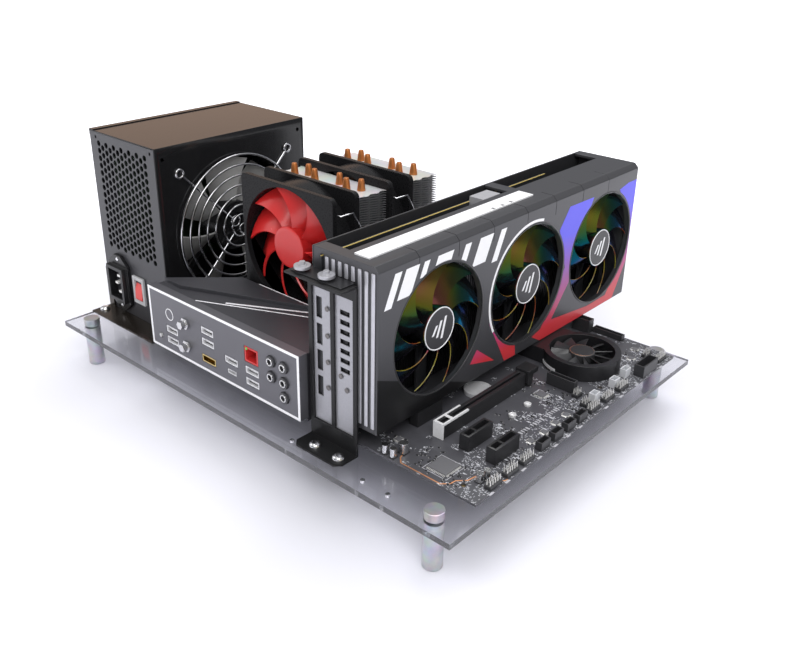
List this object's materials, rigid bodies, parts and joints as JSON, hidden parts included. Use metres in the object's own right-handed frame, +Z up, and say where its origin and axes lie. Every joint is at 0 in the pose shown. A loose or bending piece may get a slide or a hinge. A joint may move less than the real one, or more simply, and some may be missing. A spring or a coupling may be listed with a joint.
{
  "type": "open_air_test_bench",
  "caption": "Open air test bench: a clear plate on turned feet carries a power supply, a main board with a tower cooler and a graphics card in a folded slot frame",
  "frame": {"origin": "centre of the bounding box at its lowest point, on the floor under the feet", "axes": "+X towards the graphics card's fan side, +Y away from the rear ports, +Z up"},
  "size_m": [0.4, 0.327, 0.184],
  "materials": {
    "clear_plate": "clear cast acrylic with polished edges",
    "turned_metal": "turned and bead blasted",
    "standoff_brass": "turned, unpolished",
    "black_sheet": "black powder coat on folded sheet",
    "psu_paint": "dark grey paint",
    "bright_wire": "bright plated wire",
    "black_plastic": "moulded, fine grain",
    "grey_plastic": "moulded, fine grain",
    "red_plastic": "moulded, semi gloss",
    "contact_metal": "plated contact metal",
    "circuit_board": "solder mask over glass fibre",
    "port_plate": "thin stamped sheet, satin grey",
    "port_metal": "stamped and plated",
    "jack_plastic": "moulded bushes",
    "cover_plastic": "moulded, textured",
    "fin_metal": "bare sheet fins",
    "pipe_copper": "drawn copper, lightly lacquered",
    "module_shell": "painted sheet",
    "card_shell": "gunmetal satin",
    "card_blades": "moulded, glossy with a faint sheen",
    "bright_trim": "satin plated sheet and turned screws",
    "pale_trim": "moulded, pale"
  },
  "bodies": {
    "bench": {"base_plate": "clear_plate", "foot_posts": "turned_metal", "foot_caps": "turned_metal", "board_standoffs": "standoff_brass", "slot_frame": "black_sheet", "psu_bracket": "black_sheet", "psu_tray": "psu_paint", "psu_cover": "psu_paint", "psu_guard": "bright_wire", "fan_clips": "bright_wire", "psu_inlet": "black_plastic", "psu_fan_frame": "black_plastic", "front_fan_frame": "black_plastic", "middle_fan_frame": "black_plastic", "graphics_slot": "black_plastic", "short_slots": "black_plastic", "memory_slots": "black_plastic", "chips_and_headers": "black_plastic", "power_sockets": "black_plastic", "chipset_shroud": "black_plastic", "cpu_socket": "black_plastic", "psu_switch_bezel": "grey_plastic", "psu_inlet_pins": "contact_metal", "antenna_sockets": "contact_metal", "motherboard": "circuit_board", "card_board": "circuit_board", "psu_board": "circuit_board", "io_shield": "port_plate", "rear_ports": "port_metal", "armoured_slot": "port_metal", "coin_cell": "port_metal", "capacitors": "port_metal", "audio_jacks": "jack_plastic", "io_cover": "cover_plastic", "front_fins": "fin_metal", "rear_fins": "fin_metal", "cooler_base": "fin_metal", "card_heatsink": "fin_metal", "power_heatsink": "fin_metal", "heat_pipes": "pipe_copper", "memory_modules": "module_shell", "card_shroud": "card_shell", "card_backplate": "card_shell", "card_end_bars": "bright_trim", "thumb_screws": "bright_trim", "card_bracket": "bright_trim", "card_light_strip": "pale_trim", "card_power_socket": "pale_trim"},
    "psu_fan": {"psu_rotor": "grey_plastic"},
    "front_fan": {"front_rotor": "red_plastic"},
    "middle_fan": {"middle_rotor": "red_plastic"},
    "card_fan_1": {"card_rotor_1": "card_blades"},
    "card_fan_2": {"card_rotor_2": "card_blades"},
    "card_fan_3": {"card_rotor_3": "card_blades"},
    "chipset_fan": {"chipset_rotor": "black_plastic"},
    "rocker": {"psu_rocker": "red_plastic"},
    "graphics_latch": {"graphics_slot_latch": "black_plastic"},
    "armoured_latch": {"armoured_slot_latch": "black_plastic"},
    "push_button": {"flash_button": "black_plastic"}
  },
  "joints": [
    {"name": "psu_fan_spin", "type": "hinge", "parent": "bench", "child": "psu_fan", "pos_m": [-0.125, -0.0475, 0.109], "axis": [1, 0, 0], "continuous": true},
    {"name": "front_fan_spin", "type": "hinge", "parent": "bench", "child": "front_fan", "pos_m": [-0.0084, -0.0775, 0.1276], "axis": [0, 1, 0], "continuous": true},
    {"name": "middle_fan_spin", "type": "hinge", "parent": "bench", "child": "middle_fan", "pos_m": [-0.0084, -0.0228, 0.1276], "axis": [0, 1, 0], "continuous": true},
    {"name": "card_fan_1_spin", "type": "hinge", "parent": "bench", "child": "card_fan_1", "pos_m": [0.11364, -0.0784, 0.1055], "axis": [1, 0, 0], "continuous": true},
    {"name": "card_fan_2_spin", "type": "hinge", "parent": "bench", "child": "card_fan_2", "pos_m": [0.11364, 0.0193, 0.1055], "axis": [1, 0, 0], "continuous": true},
    {"name": "card_fan_3_spin", "type": "hinge", "parent": "bench", "child": "card_fan_3", "pos_m": [0.11364, 0.117, 0.1055], "axis": [1, 0, 0], "continuous": true},
    {"name": "chipset_fan_spin", "type": "hinge", "parent": "bench", "child": "chipset_fan", "pos_m": [0.15, 0.052, 0.0488], "axis": [0, 0, 1], "continuous": true},
    {"name": "rocker_tilt", "type": "hinge", "parent": "bench", "child": "rocker", "pos_m": [-0.1525, -0.12, 0.062], "axis": [1, 0, 0], "range_deg": [0, 24]},
    {"name": "graphics_latch_tilt", "type": "hinge", "parent": "bench", "child": "graphics_latch", "pos_m": [0.07554, -0.002, 0.0451], "axis": [-1, 0, 0], "range_deg": [0, 25]},
    {"name": "armoured_latch_tilt", "type": "hinge", "parent": "bench", "child": "armoured_latch", "pos_m": [0.1365, -0.002, 0.0451], "axis": [-1, 0, 0], "range_deg": [0, 25]},
    {"name": "button_press", "type": "slide", "parent": "bench", "child": "push_button", "axis": [0, 1, 0], "range_m": [0, 0.0006], "stiffness_N_per_m": 300}
  ]
}
